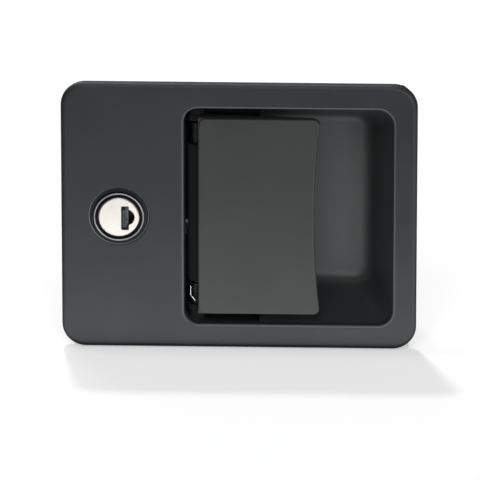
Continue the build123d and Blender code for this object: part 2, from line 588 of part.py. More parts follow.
def lock_slide():
    left = LOCK_X - 7.0
    right = PAWL_X + COLLAR_R + 0.6
    top = POST_Z + SLIDE_TRAVEL + SHOULDER_R + 4.0
    foot = rounded(left, right, FORK_Z0, POST2_Z + SLIDE_TRAVEL + SHOULDER_R + 3.0, 1.5)
    neck = rounded(left, LOCK_X + 5.5, FORK_Z0, top, 2.0)
    shape = along_y(foot + neck, SLIDE_Y0, SLIDE_Y1)
    for x, z in GUIDES:
        way = slot_between((x, z), (x, z + SLIDE_TRAVEL), SHOULDER_R + GUIDE_GAP)
        shape -= along_y(way, SLIDE_Y0 - 1, SLIDE_Y1 + 1)
    cross_r = ECC_PIN_R + SLIDE_PLAY
    cross = slot_between((ECC_X - 0.3, ECC_Z), (LOCK_X + ECC_R + 0.3, ECC_Z), cross_r)
    shape -= along_y(cross, SLIDE_Y0 - 1, SLIDE_Y1 + 1)

    # fork, bent back at the foot, with a prong each side of the lever's boss
    reach_y = PAWL_Y + LEVER_HUB_R - 1.0
    prongs = rounded(PAWL_X - COLLAR_R - 0.6, right, SLIDE_Y0, reach_y, 1.0)
    prongs -= slot_between((PAWL_X, PAWL_Y), (PAWL_X, reach_y + 8), LEVER_HUB_R + 0.3)
    return shape + along_z(prongs, FORK_Z0, FORK_Z1)


def slide_screws():
    screws = []
    for x, z in GUIDES:
        shoulder_y1 = SLIDE_Y1 + 0.2
        screw = rod_y(x, z, SHOULDER_R, POST_Y1, shoulder_y1)
        screw += rod_y(x, z, RIVET_R, POST_Y1 - 6.5, POST_Y1)
        screw += rod_y(x, z, SLIDE_HEAD_R, shoulder_y1, shoulder_y1 + SLIDE_HEAD_T)
        screw -= rod_y(x, z, 1.3, shoulder_y1 + SLIDE_HEAD_T - 1.1, shoulder_y1 + SLIDE_HEAD_T + 1)
        screws.append(screw)
    return Compound(children=screws)


# ---- Rotary latch -------------------------------------------------------------------------------

def rotor_outline():
    """The rotor with its mouth turned to the open position."""
    centre = (ROTOR_X, ROTOR_Y)
    disc = Pos(ROTOR_X, ROTOR_Y) * Circle(ROTOR_R)
    seat = turned((STRIKER_X, STRIKER_Y), centre, ROTOR_SWING)
    reach = 2 * ROTOR_R / hypot(seat[0] - ROTOR_X, seat[1] - ROTOR_Y)
    mouth = (ROTOR_X + reach * (seat[0] - ROTOR_X), ROTOR_Y + reach * (seat[1] - ROTOR_Y))
    disc -= slot_between(seat, mouth, STRIKER_SLOT_R)

    # ratchet notch that lies under the pawl when the rotor is closed
    tip = ROTOR_R * sin(radians(45))
    at = turned((ROTOR_X + tip, ROTOR_Y - tip), centre, ROTOR_SWING)
    return disc - Pos(*at) * (Rot(0, 0, ROTOR_SWING - 45) * (Pos(0, 1.4) * Rectangle(2 * NOTCH_D, 6.4)))


def rotor():
    shape = along_z(rotor_outline(), ROTOR_Z0, ROTOR_Z1)
    shape += rod_z(ROTOR_X, ROTOR_Y, 4.4, LOWER_Z0 + CASE_T + 0.1, UPPER_Z0 - 0.1)
    return shape - rod_z(ROTOR_X, ROTOR_Y, PIVOT_R + RUN_GAP, LOWER_Z0, UPPER_Z0 + 1)


def pivot(x, y, top_z):
    """A shouldered pin riveted in the lower plate."""
    shape = rod_z(x, y, PIVOT_R, LOWER_Z0 - 0.8, top_z)
    return shape + rod_z(x, y, PIVOT_R + 1.2, LOWER_Z0 - 0.9, LOWER_Z0)


def rotor_pin():
    shape = pivot(ROTOR_X, ROTOR_Y, UPPER_Z0 + CASE_T + 0.8)
    return shape + rod_z(ROTOR_X, ROTOR_Y, PIVOT_R + 1.2, UPPER_Z0 + CASE_T, UPPER_Z0 + CASE_T + 0.9)


def pawl_pin():
    return pivot(PAWL_X, PAWL_Y, HUB_TOP_Z + 1.2) + rod_z(PAWL_X, PAWL_Y, 4.2, HUB_TOP_Z + 0.3, HUB_TOP_Z + 1.5)


def hub_outline(extra):
    flats = Rectangle(2 * (HUB_FLAT + extra), 30)
    return Pos(PAWL_X, PAWL_Y) * (Circle(HUB_R + extra) & flats)


def pawl():
    gap_r = ROTOR_R + PAWL_TIP_GAP
    tip = (ROTOR_X + gap_r * cos(radians(45)), ROTOR_Y - gap_r * sin(radians(45)))
    nose = (tip[0] + 1.5, tip[1] - 1.1)
    arm = hull_of([(PAWL_X, PAWL_Y, PAWL_HUB_R), (nose[0] + 1.6, nose[1] + 0.9, 3.0)])
    tooth = make_face(Polyline(
        tip, (tip[0] + 3.3, tip[1] - 2.9), (tip[0] + 8.0, tip[1] + 1.0), (tip[0] + 5.0, tip[1] + 5.2),
        close=True))
    keep_out = Pos(ROTOR_X, ROTOR_Y) * Circle(gap_r)
    outline = (arm + tooth) - keep_out
    shape = along_z(outline, ROTOR_Z0, ROTOR_Z1)
    shape += rod_z(PAWL_X, PAWL_Y, PAWL_HUB_R, LOWER_Z0 + CASE_T + 0.1, UPPER_Z0 - 0.1)
    shape += rod_z(PAWL_X, PAWL_Y, HUB_R, UPPER_Z0 - 0.2, UPPER_Z0 + CASE_T + 0.2)
    shape += along_z(hub_outline(0), UPPER_Z0 + CASE_T, HUB_TOP_Z)
    return shape - rod_z(PAWL_X, PAWL_Y, PIVOT_R + RUN_GAP, LOWER_Z0, HUB_TOP_Z + 1)


def release_lever():
    arm = hull_of([(PAWL_X, PAWL_Y, LEVER_HUB_R), (LEVER_TIP_X, LEVER_TIP_Y, LEVER_TIP_R)])
    shape = along_z(arm, FINGER_Z0, FINGER_Z1)
    shape += rod_z(PAWL_X, PAWL_Y, LEVER_HUB_R, LEVER_Z0, LEVER_Z1)
    low = FORK_Z0 - COLLAR_GAP
    high = FORK_Z1 + COLLAR_GAP
    shape += rod_z(PAWL_X, PAWL_Y, COLLAR_R, low - COLLAR_T, low)
    shape += rod_z(PAWL_X, PAWL_Y, COLLAR_R, high, high + COLLAR_T)
    return shape - along_z(hub_outline(LEVER_GAP), LEVER_Z0 - 1, LEVER_Z1 + 1)


def wound_spring(x, y, r, z0, z1, leg_angles, reach, wire=0.8):
    """A torsion spring as a sleeve with a straight leg at each end."""
    shape = rod_z(x, y, r + wire, z0, z1) - rod_z(x, y, r, z0 - 1, z1 + 1)
    for angle, z in zip(leg_angles, (z0, z1 - wire)):
        a = radians(angle)
        start = (x + (r + wire / 2) * cos(a + pi / 2), y + (r + wire / 2) * sin(a + pi / 2))
        end = (start[0] + reach * cos(a), start[1] + reach * sin(a))
        shape += along_z(slot_between(start, end, wire / 2), z, z + wire)
    return shape


def rotor_spring():
    return wound_spring(ROTOR_X, ROTOR_Y, 4.7, ROTOR_Z1 + 0.1, UPPER_Z0 - 0.1, (200, 75), 7.0, wire=0.7)


def pawl_spring():
    return wound_spring(PAWL_X, PAWL_Y, PAWL_HUB_R + 0.3, ROTOR_Z1 + 0.1, UPPER_Z0 - 0.1, (-118, 40), 6.0, wire=0.7)


# ---- Latch case ---------------------------------------------------------------------------------

def case_outline(y0):
    outline = rounded(CASE_X0, CASE_X1, y0, CASE_Y1, 2.5)
    return outline - slot_between((STRIKER_X, STRIKER_Y), (STRIKER_X, CASE_Y1 + 9), STRIKER_SLOT_R + 0.2)


def case_holes():
    holes = [Pos(x, y) * Circle(RIVET_R + RUN_GAP) for x, y in SPACERS]
    return holes + [Pos(ROTOR_X, ROTOR_Y) * Circle(PIVOT_R + RUN_GAP)]


def case_upper():
    sheet = case_outline(CASE_Y0)
    for hole in case_holes():
        sheet -= hole
    sheet -= Pos(PAWL_X, PAWL_Y) * Circle(HUB_R + RUN_GAP)
    shape = along_z(sheet, UPPER_Z0, UPPER_Z0 + CASE_T)
    flange = rounded(CASE_X0, CASE_X1, FLANGE_Z0, UPPER_Z0 + CASE_T, 2.5)
    x, z = CASE_SCREWS[-1]
    flange += rounded(CASE_X1 - 8, x + SCREW_HEAD_R + 1.2, z - SCREW_HEAD_R - 1.2, z + SCREW_HEAD_R + 1.2, 2.0)
    for x, z in CASE_SCREWS:
        flange -= Pos(x, z) * Circle(SCREW_R + RUN_GAP)
    return shape + along_y(flange, CASE_Y0, CASE_Y0 + CASE_T)


def case_lower():
    sheet = case_outline(CASE_Y0 + CASE_T + 0.05)
    for hole in case_holes():
        sheet -= hole
    sheet -= Pos(PAWL_X, PAWL_Y) * Circle(PIVOT_R + RUN_GAP)
    return along_z(sheet, LOWER_Z0, LOWER_Z0 + CASE_T)


def case_spacers():
    spacers = []
    for x, y in SPACERS:
        z0 = LOWER_Z0 + CASE_T
        top = UPPER_Z0 + CASE_T
        spacer = rod_z(x, y, SPACER_R, z0, UPPER_Z0)
        spacer += rod_z(x, y, RIVET_R, LOWER_Z0 - RIVET_HEAD_T, top + RIVET_HEAD_T)
        spacer += rod_z(x, y, SPACER_R, LOWER_Z0 - RIVET_HEAD_T, LOWER_Z0)
        spacer += rod_z(x, y, SPACER_R, top, top + RIVET_HEAD_T)
        spacers.append(spacer)
    return Compound(children=spacers)


def case_screws():
    y1 = CASE_Y0 + CASE_T
    screws = []
    for x, z in CASE_SCREWS:
        screw = rod_y(x, z, SCREW_R, y1 - SCREW_L, y1)
        screw += chamfer(rod_y(x, z, SCREW_HEAD_R, y1, y1 + SCREW_HEAD_T).edges().sort_by(Axis.Y)[-1], 0.5)
        screw -= along_y(Pos(x, z) * RegularPolygon(1.7, 6), y1 + SCREW_HEAD_T - 1.4, y1 + SCREW_HEAD_T + 1)
        screws.append(screw)
    return Compound(children=screws)


# ---- Output -------------------------------------------------------------------------------------

NODES = {
    "housing": housing,
    "gasket": gasket,
    "mounting_studs": mounting_studs,
    "paddle": paddle,
    "hinge_pin": hinge_pin,
    "hinge_clips": hinge_clips,
    "paddle_springs": paddle_springs,
    "lock_barrel": lock_barrel,
    "lock_plug": lock_plug,
    "key_shutter": key_shutter,
    "shutter_spring": shutter_spring,
    "wafer_tumblers": wafer_tumblers,
    "lock_washer": lock_washer,
    "lock_nut": lock_nut,
    "lock_crank": lock_crank,
    "crank_screw": crank_screw,
    "lock_slide": lock_slide,
    "slide_screws": slide_screws,
    "release_lever": release_lever,
    "case_upper": case_upper,
    "case_lower": case_lower,
    "case_spacers": case_spacers,
    "case_screws": case_screws,
    "rotor": rotor,
    "rotor_pin": rotor_pin,
    "rotor_spring": rotor_spring,
    "pawl": pawl,
    "pawl_pin": pawl_pin,
    "pawl_spring": pawl_spring,
}

os.makedirs("parts", exist_ok=True)
for node, make in NODES.items():
    export_step(make(), f"parts/{node}.step")
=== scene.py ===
# %% [markdown]
# # A flush paddle latch
# A black die-cast plate carries a round key lock and a recessed paddle.  Fingers reach into the
# well and pull the paddle's free edge; a rotary latch behind the plate then lets the striker go.
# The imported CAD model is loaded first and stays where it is.  Its solids get their finishes, and
# the few shapes that are drawn better here than in CAD, such as springs and threads, are added.

# %% Load the frame
import bpy
from math import cos, sin, radians, pi
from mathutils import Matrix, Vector


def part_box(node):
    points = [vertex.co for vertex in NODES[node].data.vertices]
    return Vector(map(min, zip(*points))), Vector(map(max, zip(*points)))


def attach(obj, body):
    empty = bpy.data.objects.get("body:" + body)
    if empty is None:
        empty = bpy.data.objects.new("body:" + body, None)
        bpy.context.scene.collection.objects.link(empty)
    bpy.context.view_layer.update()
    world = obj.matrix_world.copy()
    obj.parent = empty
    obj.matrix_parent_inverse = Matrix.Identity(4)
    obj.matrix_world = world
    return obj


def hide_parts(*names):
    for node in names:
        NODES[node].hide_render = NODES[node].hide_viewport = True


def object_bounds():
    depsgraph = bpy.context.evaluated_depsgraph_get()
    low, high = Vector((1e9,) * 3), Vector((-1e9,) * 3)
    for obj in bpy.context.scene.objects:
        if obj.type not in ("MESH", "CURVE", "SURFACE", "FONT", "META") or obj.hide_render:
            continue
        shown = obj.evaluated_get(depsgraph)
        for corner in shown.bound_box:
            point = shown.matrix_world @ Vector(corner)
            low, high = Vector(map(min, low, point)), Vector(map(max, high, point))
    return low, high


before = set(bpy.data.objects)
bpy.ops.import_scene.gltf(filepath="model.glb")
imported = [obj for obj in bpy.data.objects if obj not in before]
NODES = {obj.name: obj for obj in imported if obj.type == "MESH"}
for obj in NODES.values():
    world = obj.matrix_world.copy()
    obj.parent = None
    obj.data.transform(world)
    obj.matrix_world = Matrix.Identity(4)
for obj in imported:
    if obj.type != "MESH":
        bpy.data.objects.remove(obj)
CAD_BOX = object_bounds()
MM = 0.001
bpy.ops.object.select_all(action="DESELECT")
print("CAD box, mm:", [[round(v / MM, 1) for v in corner] for corner in CAD_BOX])

# %% [markdown]
# ## Shader maths as Python
# A node tree is easier to read as an expression.  `Value` wraps one output socket, so that `+`, `-`
# and `*` add Math nodes and `1 - mask` works.  `Tree` has one method, `node`, for any other node.


# %% Values that can be calculated with
class Value:
    """One output socket of a node tree."""

    def __init__(self, owner, socket):
        self.owner = owner
        self.socket = socket

    def math(self, operation, *others):
        node = self.owner.tree.nodes.new("ShaderNodeMath")
        node.operation = operation
        for i, item in enumerate((self,) + others):
            self.owner.put(node.inputs[i], item)
        return Value(self.owner, node.outputs[0])

    def __add__(self, other):
        return self.math("ADD", other)

    def __radd__(self, other):
        return self.math("ADD", other)

    def __sub__(self, other):
        return self.math("SUBTRACT", other)

    def __rsub__(self, other):
        return self * -1.0 + other

    def __mul__(self, other):
        return self.math("MULTIPLY", other)

    def __rmul__(self, other):
        return self.math("MULTIPLY", other)

    def above(self, limit):
        return self.math("GREATER_THAN", limit)

    def below(self, limit):
        return self.math("LESS_THAN", limit)

    def between(self, low, high):
        return self.above(low) * self.below(high)

    def at_least(self, other):
        return self.math("MAXIMUM", other)


# %% A node tree
class Tree:
    def __init__(self, tree):
        self.tree = tree

    def put(self, socket, item):
        """Link a Value to a socket, or set the socket to a constant."""
        if isinstance(item, Value):
            self.tree.links.new(item.socket, socket)
        else:
            socket.default_value = item

    def node(self, kind, settings=None, output=0, sockets=None, **inputs):
        """Any node: its settings, then its inputs by number in `sockets` or by name."""
        node = self.tree.nodes.new("ShaderNode" + kind)
        for key, item in (settings or {}).items():
            if key == "stops":
                for stop, (at, colour) in zip(node.color_ramp.elements, item):
                    stop.position = at
                    stop.color = colour
            else:
                setattr(node, key, item)
        for key, item in (sockets or {}).items():
            self.put(node.inputs[key], item)
        for key, item in inputs.items():
            self.put(node.inputs[key.replace("_", " ")], item)
        return Value(self, node.outputs[output])


# %% [markdown]
# ## A finish
# `Finish` starts a material with one Principled shader.  Its patterns read Object coordinates,
# which are metres from the origin of the frame, so a grain of 0.35 mm is 0.35 mm on every piece.


# %% A material
class Finish(Tree):
    def __init__(self, name, **surface):
        self.material = bpy.data.materials.new(name)
        self.material.use_nodes = True
        super().__init__(self.material.node_tree)
        self.shader = self.tree.nodes["Principled BSDF"]
        self.surface(**surface)

    def surface(self, **inputs):
        """Set inputs of the shader by name."""
        for key, item in inputs.items():
            self.put(self.shader.inputs[key.replace("_", " ")], item)

    def place(self):
        return self.node("TexCoord", output="Object")

    def along(self, axis):
        """The X, Y or Z coordinate."""
        return self.node("SeparateXYZ", output=axis, Vector=self.place())

    def from_axis(self, centre):
        """Distance from an axis along Y."""
        spread = self.node("Mapping", {"vector_type": "POINT"}, Vector=self.place(),
                           Location=(-centre[0], 0, -centre[2]), Scale=(1.0, 0.0, 1.0))
        return self.node("VectorMath", {"operation": "LENGTH"}, output="Value", Vector=spread)

    def noise(self, size, detail=2.0, stretch=None):
        """Noise whose blobs are about `size` metres across, centred on 0."""
        place = self.place()
        if stretch:
            place = self.node("Mapping", {"vector_type": "POINT"}, Vector=place, Scale=stretch)
        return self.node("TexNoise", Vector=place, Scale=1.0 / size, Detail=detail) - 0.5

    def blend(self, low, high, factor):
        """A colour between two colours."""
        return self.node("ValToRGB", {"stops": [(0.0, low), (1.0, high)]}, Fac=factor)

    def mixed(self, first, second, factor):
        """One colour turning into another as the factor goes from 0 to 1."""
        return self.node("Mix", {"data_type": "RGBA"}, output=2,
                         sockets={0: factor, 6: first, 7: second})

    def bump(self, height, depth):
        """Relief of `depth` metres from a height value."""
        self.surface(Normal=self.node("Bump", Height=height, Distance=depth, Strength=1.0))


def rgb(r, g, b):
    return (r, g, b, 1.0)


# %% [markdown]
# ## Painted light and shade on the coats
# The coat's colour is painted lighter and darker where light and shade fall.  The edges of the
# lock's dish and of the recess get a painted highlight, and the floor of the finger well is painted
# lighter deeper in, as light falls there.  The dish itself and the pocket round the hinge get
# painted shade.  An image could paint this, but a distance from the lock's axis or from the outline
# of the recess finds the same places on the model itself.


# %% Where the painted light and shade lie
LOCK_AXIS = (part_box("lock_plug")[0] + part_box("lock_plug")[1]) / 2
HEAD_R = (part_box("lock_barrel")[1].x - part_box("lock_barrel")[0].x) / 2
PLATE_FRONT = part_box("housing")[0].y
FACE_DEPTH = 2.0 * MM               # the plate's face and the rounding of its edges
DISH_R = HEAD_R + 1.95 * MM         # the edge of the dish that the lock sits in
# painted shade in the dish inside this radius
DISH_PAINTED_SHADE_R = DISH_R - 0.35 * MM
# a painted highlight round the dish's edge, between these radii
DISH_HIGHLIGHT_BAND = (DISH_R - 0.25 * MM, DISH_R + 0.05 * MM)
RECESS_LOW = (-21.6 * MM, -44.9 * MM)  # corners of the recess in the face, X and Z
RECESS_HIGH = (60.6 * MM, 44.9 * MM)
RECESS_CORNER = 6.0 * MM
# a painted highlight on the lip of the recess, this far outwards from its outline
LIP_HIGHLIGHT_BAND = (0.25 * MM, 0.95 * MM)  # outwards from the outline of the recess
STEP_X = 7.9 * MM                   # the hinge's pocket ends and the finger well begins
# painted shade in the pocket round the hinge: this far inside the recess and this deep behind the
# face
POCKET_IN = 0.1 * MM
POCKET_DEPTH = 1.6 * MM
# the floor of the finger well is painted lighter from this depth, lightest this much deeper
WELL_LIGHT_FROM = 16.5 * MM         # the well grows paler from here
WELL_LIGHT_RUN = 5.5 * MM           # and is palest this much deeper
WELL_OUTSIDE = 23.0 * MM            # past this Y the wall's outer side begins
# painted shade on the paddle this far behind its face
PADDLE_FACE_DEPTH = 2.6 * MM
print("dish round the lock, mm across:", round(2 * DISH_R / MM, 1))


# %% Painted light and shade of the plate and the paddle
def from_recess(coat):
    """Distance outwards from the outline of the recess, which is a rounded rectangle."""
    beyond = []
    for axis, start, end in zip("XZ", RECESS_LOW, RECESS_HIGH):
        off_middle = (coat.along(axis) - (start + end) / 2).math("ABSOLUTE")
        beyond.append((off_middle - ((end - start) / 2 - RECESS_CORNER)).at_least(0.0))
    return (beyond[0] * beyond[0] + beyond[1] * beyond[1]).math("SQRT") - RECESS_CORNER


def plate_painted_light_masks(coat):
    """Three masks of the plate: painted shade, painted highlights and painted light in the well."""
    radius = coat.from_axis(LOCK_AXIS)
    outwards = from_recess(coat)
    depth = coat.along("Y")
    on_face = depth.below(PLATE_FRONT + FACE_DEPTH)
    # painted shade in the lock's dish
    dish_painted_shade = radius.below(DISH_PAINTED_SHADE_R) * on_face
    # painted shade in the pocket round the hinge
    pocket_painted_shade = (outwards.below(-POCKET_IN) * coat.along("X").below(STEP_X)
                 * depth.above(PLATE_FRONT + POCKET_DEPTH))
    # painted highlights on the edge of the dish and on the lip of the recess
    dish_edge_painted_highlight = radius.between(*DISH_HIGHLIGHT_BAND) * on_face
    lip_painted_highlight = outwards.between(*LIP_HIGHLIGHT_BAND) * on_face
    # painted light on the floor of the finger well, growing deeper in
    well_light_ramp = ((depth - WELL_LIGHT_FROM) * (1 / WELL_LIGHT_RUN)).at_least(0.0)
    # painted shade of the dish and of the pocket
    painted_shade = (dish_painted_shade * 0.6).at_least(pocket_painted_shade)
    painted_highlight = dish_edge_painted_highlight * 0.9 + lip_painted_highlight * 0.24
    return painted_shade, painted_highlight, well_light_ramp * depth.below(WELL_OUTSIDE)


def paddle_painted_shade_masks(coat):
    """The same masks of the paddle, which only gets painted shade, behind its face."""
    return coat.along("Y").above(PLATE_FRONT + PADDLE_FACE_DEPTH), 0.0, 0.0


# %% [markdown]
# ## Powder coat
# The plate and paddle are cast, then sprayed with black powder that melts into a satin skin.  Up
# close it is a fine pebble with a slow waviness below it, and the gloss changes a little from place
# to place.  Three sizes of noise give that: one each for pebble, waviness and clouds.

# %% Black coats
# colours of the painted shade, the painted highlights and the painted light in the finger well
PAINTED_SHADE = rgb(0.002, 0.002, 0.0025)
PAINTED_HIGHLIGHT = rgb(0.24, 0.245, 0.25)
PAINTED_WELL_LIGHT = rgb(0.075, 0.078, 0.077)


def powder(name, dark, light, rough, pebble, painted_light_masks):
    coat = Finish(name)
    fine = coat.noise(0.35 * MM)
    wave = coat.noise(2.4 * MM, detail=1.0)
    cloud = coat.noise(28 * MM, detail=3.0)
    painted_shade, painted_highlight, painted_well_light = painted_light_masks(coat)
    colour = coat.blend(dark, light, cloud + fine * 0.5 + 0.5)
    # painted light in the well, painted shade and painted highlights go over the coat's own colour
    colour = coat.mixed(colour, PAINTED_WELL_LIGHT, painted_well_light)
    colour = coat.mixed(colour, PAINTED_SHADE, painted_shade * 0.9)
    colour = coat.mixed(colour, PAINTED_HIGHLIGHT, painted_highlight)
    roughness = fine * 0.10 + cloud * 0.10 + rough + painted_shade * 0.5
    coat.surface(Base_Color=colour, Roughness=roughness, Specular_IOR_Level=0.42)
    coat.bump(fine + wave * 0.8, pebble)
    return coat.material


POWDER = powder("plate_powder_coat", rgb(0.017, 0.018, 0.019), rgb(0.031, 0.033, 0.034),
                rough=0.47, pebble=0.05 * MM, painted_light_masks=plate_painted_light_masks)
PADDLE = powder("paddle_powder_coat", rgb(0.0265, 0.028, 0.0265), rgb(0.043, 0.0455, 0.0425),
                rough=0.50, pebble=0.035 * MM, painted_light_masks=paddle_painted_shade_masks)
print("coats:", POWDER.name, PADDLE.name)

# %% [markdown]
# ## Lock finishes
# The plug is nickel plated over brass, so its white is warm, and its face keeps the rings of the
# lathe.  Inside the keyhole the plating is painted darker, a painted shade, and is rougher.  The
# barrel's head is black enamel, and a ring of pale metal on its raised rim is a painted highlight.

# %% Nickel of the plug
PLUG_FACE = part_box("lock_plug")[0].y
# painted shade inside the keyhole begins this far behind the plug's face
KEYHOLE_SHADE_DEPTH = 0.45 * MM
LATHE_FEED = 0.22 * MM


def nickel():
    plate = Finish("warm_nickel", Metallic=1.0)
    rings = (plate.from_axis(LOCK_AXIS) * (2 * pi / LATHE_FEED)).math("SINE")
    grain = plate.noise(0.5 * MM, detail=4.0)
    bright = plate.blend(rgb(0.88, 0.84, 0.76), rgb(0.99, 0.96, 0.90), grain + 0.5)
    # painted shade inside the keyhole
    keyhole_painted_shade = plate.blend(rgb(0.05, 0.047, 0.035), rgb(0.34, 0.32, 0.25), grain * 1.6 + 0.5)
    inside = plate.along("Y").above(PLUG_FACE + KEYHOLE_SHADE_DEPTH)
    plate.surface(Base_Color=plate.mixed(bright, keyhole_painted_shade, inside),
                  Roughness=grain * 0.22 + inside * 0.12 + 0.34)
    plate.bump(rings * 0.35 + grain, 0.012 * MM)
    return plate.material


NICKEL = nickel()

# %% Enamel of the barrel
# a ring of pale metal on the rim between these radii is a painted highlight
RIM_HIGHLIGHT_BAND = (HEAD_R - 0.62 * MM, HEAD_R - 0.02 * MM)


def enamel():
    coat = Finish("black_enamel", Specular_IOR_Level=0.12)
    wave = coat.noise(1.6 * MM)
    # painted highlight on the rim of the head
    rim_painted_highlight = coat.from_axis(LOCK_AXIS).between(*RIM_HIGHLIGHT_BAND)
    black = coat.blend(rgb(0.002, 0.002, 0.002), rgb(0.005, 0.005, 0.005), wave + 0.5)
    coat.surface(Base_Color=coat.mixed(black, rgb(0.33, 0.33, 0.34), rim_painted_highlight), Metallic=rim_painted_highlight * 0.9,
                 Roughness=wave * 0.12 + 0.36)
    coat.bump(wave, 0.01 * MM)
    return coat.material


ENAMEL = enamel()
print("lock head, mm across:", round(2 * HEAD_R / MM, 1))

# %% [markdown]
# ## Bare and plated metals
# Stamped parts are zinc plated: pale, slightly blue, with the crystals of the plating showing as
# faint clouds.  Pins and rotor are plain hardened steel with long grinding marks, which are the
# same noise stretched along the part.  The small springs are bright wire, while the hinge pin and
# its springs, which stand in the weather, are blackened.  Key shutter and wafers are dark with use.


# %% Metals
def metal(name, low, high, rough, cloud_size, stretch=None, relief=0.01 * MM):
    steel = Finish(name, Metallic=1.0)
    cloud = steel.noise(cloud_size, detail=4.0)
    marks = steel.noise(0.6 * MM, detail=3.0, stretch=stretch)
    steel.surface(Base_Color=steel.blend(low, high, cloud * 1.3 + 0.5),
                  Roughness=cloud * 0.25 + marks * 0.22 + rough)
    steel.bump(marks + cloud * 0.3, relief)
    return steel.material


ALONG_Z = (1.0, 1.0, 0.12)
ZINC = metal("zinc_plating", rgb(0.46, 0.49, 0.52), rgb(0.71, 0.73, 0.75), 0.36, 3.5 * MM)
GROUND = metal("ground_steel", rgb(0.20, 0.20, 0.21), rgb(0.42, 0.42, 0.43), 0.34, 6 * MM,
               stretch=ALONG_Z)
WIRE = metal("spring_wire", rgb(0.62, 0.63, 0.66), rgb(0.86, 0.87, 0.90), 0.20, 2 * MM,
             stretch=(0.3, 0.3, 1.0))
BLACKED = metal("blackened_steel", rgb(0.012, 0.012, 0.013), rgb(0.05, 0.05, 0.053), 0.42, 2 * MM,
                stretch=ALONG_Z)
SHUTTER = metal("shutter_steel", rgb(0.07, 0.075, 0.085), rgb(0.17, 0.18, 0.20), 0.30, 1.2 * MM,
                stretch=(1.0, 1.0, 0.1))
BRASS = metal("oiled_brass", rgb(0.07, 0.06, 0.03), rgb(0.21, 0.18, 0.09), 0.38, 0.5 * MM,
              relief=0.03 * MM)
print("metals:", [each.name for each in (ZINC, GROUND, WIRE, BLACKED, SHUTTER, BRASS)])

# %% [markdown]
# ## Foam of the gasket
# The gasket is cut from cellular rubber, so its cut edge is full of small open cells.  A Voronoi
# pattern has such cells, each deepest at its middle.

# %% Cellular rubber
CELL = 0.5 * MM


def foam():
    rubber = Finish("cellular_rubber", Specular_IOR_Level=0.3)
    cells = rubber.node("TexVoronoi", Vector=rubber.place(), Scale=1.0 / CELL)
    cloud = rubber.noise(4 * MM)
    rubber.surface(Base_Color=rubber.blend(rgb(0.010, 0.010, 0.011), rgb(0.026, 0.026, 0.027),
                                           cells + cloud * 0.4),
                   Roughness=cloud * 0.1 + 0.82)
    rubber.bump(cells, 0.09 * MM)
    return rubber.material


FOAM = foam()

# %% [markdown]
# ## Dressing the CAD parts
# The shape of most CAD parts is right as it is, so each only gets its finish.  One table says
# which.

# %% Finishes on the CAD parts
COATS = {
    POWDER: ["housing"], PADDLE: ["paddle"], ENAMEL: ["lock_barrel"], NICKEL: ["lock_plug"],
    SHUTTER: ["key_shutter"], BRASS: ["wafer_tumblers"], FOAM: ["gasket"],
    WIRE: ["rotor_spring", "pawl_spring"],
    BLACKED: ["hinge_pin", "paddle_springs", "shutter_spring"],
    ZINC: ["mounting_studs", "lock_washer", "lock_nut", "lock_crank", "lock_slide",
           "release_lever", "case_upper", "case_lower"],
    GROUND: ["hinge_clips", "crank_screw", "slide_screws", "case_spacers", "case_screws", "rotor",
             "rotor_pin", "pawl", "pawl_pin"],
}


def dress(piece, material):
    piece.data.materials.clear()
    piece.data.materials.append(material)


for material, names in COATS.items():
    for name in names:
        dress(NODES[name], material)
print("finishes:", len(COATS), "on nodes:", sum(len(names) for names in COATS.values()))

# %% [markdown]
# ## Helpers for new pieces
# A new piece starts as a primitive and is shaped by operators and modifiers.  Afterwards its place
# is put into its mesh, so that its object sits at the origin, as the object of a CAD part does.


# %% Placing and joining
DOUBLE = 0.002 * MM
SMOOTH_BELOW = radians(40)


def apply_place():
    bpy.ops.object.transform_apply(location=True, rotation=True, scale=True)


def outward(piece):
    """Merge what lies double and turn all faces outwards."""
    bpy.ops.object.mode_set(mode="EDIT")
    bpy.ops.mesh.select_all(action="SELECT")
    bpy.ops.mesh.remove_doubles(threshold=DOUBLE)
    bpy.ops.mesh.normals_make_consistent(inside=False)
    bpy.ops.object.mode_set(mode="OBJECT")
    return piece


def joined(pieces, name, material):
    """Make one piece of several, name it, dress it and shade its curves smooth."""
    bpy.ops.object.select_all(action="DESELECT")
    for piece in pieces:
        piece.select_set(True)
    bpy.context.view_layer.objects.active = pieces[0]
    if len(pieces) > 1:
        bpy.ops.object.join()
    whole = bpy.context.object
    whole.name = name
    apply_place()
    dress(whole, material)
    bpy.ops.object.shade_smooth_by_angle(angle=SMOOTH_BELOW)
    return whole


def belongs(piece, replaced=None):
    """Every new piece rides on the housing, and may stand for a CAD part."""
    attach(piece, "housing")
    if replaced:
        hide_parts(replaced)


# %% Sections, helices and soft ends
SHARP = radians(60)


def section(corners, radius, x, z):
    """A small filled polygon that stands beside the Z axis, ready to be wound round it."""
    bpy.ops.mesh.primitive_circle_add(vertices=corners, radius=radius, fill_type="NGON",
                                      location=(x, 0, z), rotation=(pi / 2, 0, 0))
    apply_place()
    return bpy.context.object


def wind(piece, angle, rise, steps, repeats=1):
    """Sweep a section round the Z axis as a helix, with the Screw modifier."""
    screw = piece.modifiers.new("helix", "SCREW")
    screw.axis = "Z"
    screw.angle = angle
    screw.screw_offset = rise
    screw.iterations = repeats
    screw.steps = steps
    screw.render_steps = steps
    bpy.ops.object.modifier_apply(modifier=screw.name)


def soften(piece, width, segments):
    """Round the sharp edges of a piece."""
    ends = piece.modifiers.new("ends", "BEVEL")
    ends.width = width
    ends.segments = segments
    ends.limit_method = "ANGLE"
    ends.angle_limit = SHARP
    bpy.ops.object.modifier_apply(modifier=ends.name)
    return piece


# %% [markdown]
# ## Wound springs
# A torsion spring is wire wound round a pin, with a straight leg at each end.  A curve with a round
# bevel could draw it, but a ring of wire wound by the Screw modifier gives even rings all along,
# and the legs are capped cylinders set end to end.

